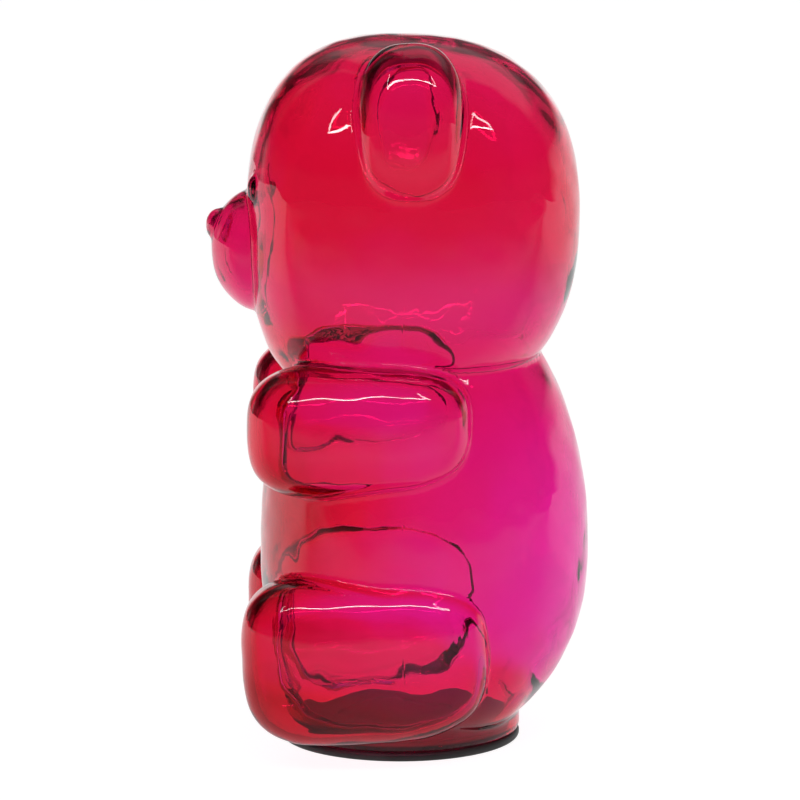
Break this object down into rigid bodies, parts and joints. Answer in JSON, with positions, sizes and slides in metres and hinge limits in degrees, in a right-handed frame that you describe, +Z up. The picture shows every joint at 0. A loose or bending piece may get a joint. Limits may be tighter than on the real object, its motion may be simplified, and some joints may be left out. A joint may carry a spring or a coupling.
{
  "type": "glass bear figurine",
  "caption": "Hollow blown glass bear figure in translucent magenta, sitting upright with rounded arms and legs, closed underneath by a black rubber stopper that it stands on.",
  "frame": {"origin": "on the floor, at the centre of the underside of the rubber stopper", "axes": "the bear faces -Y, its left side is +X, and +Z is up along the axis of the round foot"},
  "size_m": [0.134, 0.1347, 0.25],
  "materials": {
    "tinted_glass": "gloss",
    "black_rubber": "satin"
  },
  "bodies": {
    "glass_bear": {"bear_shell": "tinted_glass"},
    "stopper": {"base_stopper": "black_rubber"}
  },
  "joints": [
    {"name": "stopper_pull", "type": "slide", "parent": "glass_bear", "child": "stopper", "axis": [0, 0, -1], "range_m": [0, 0.1]}
  ]
}
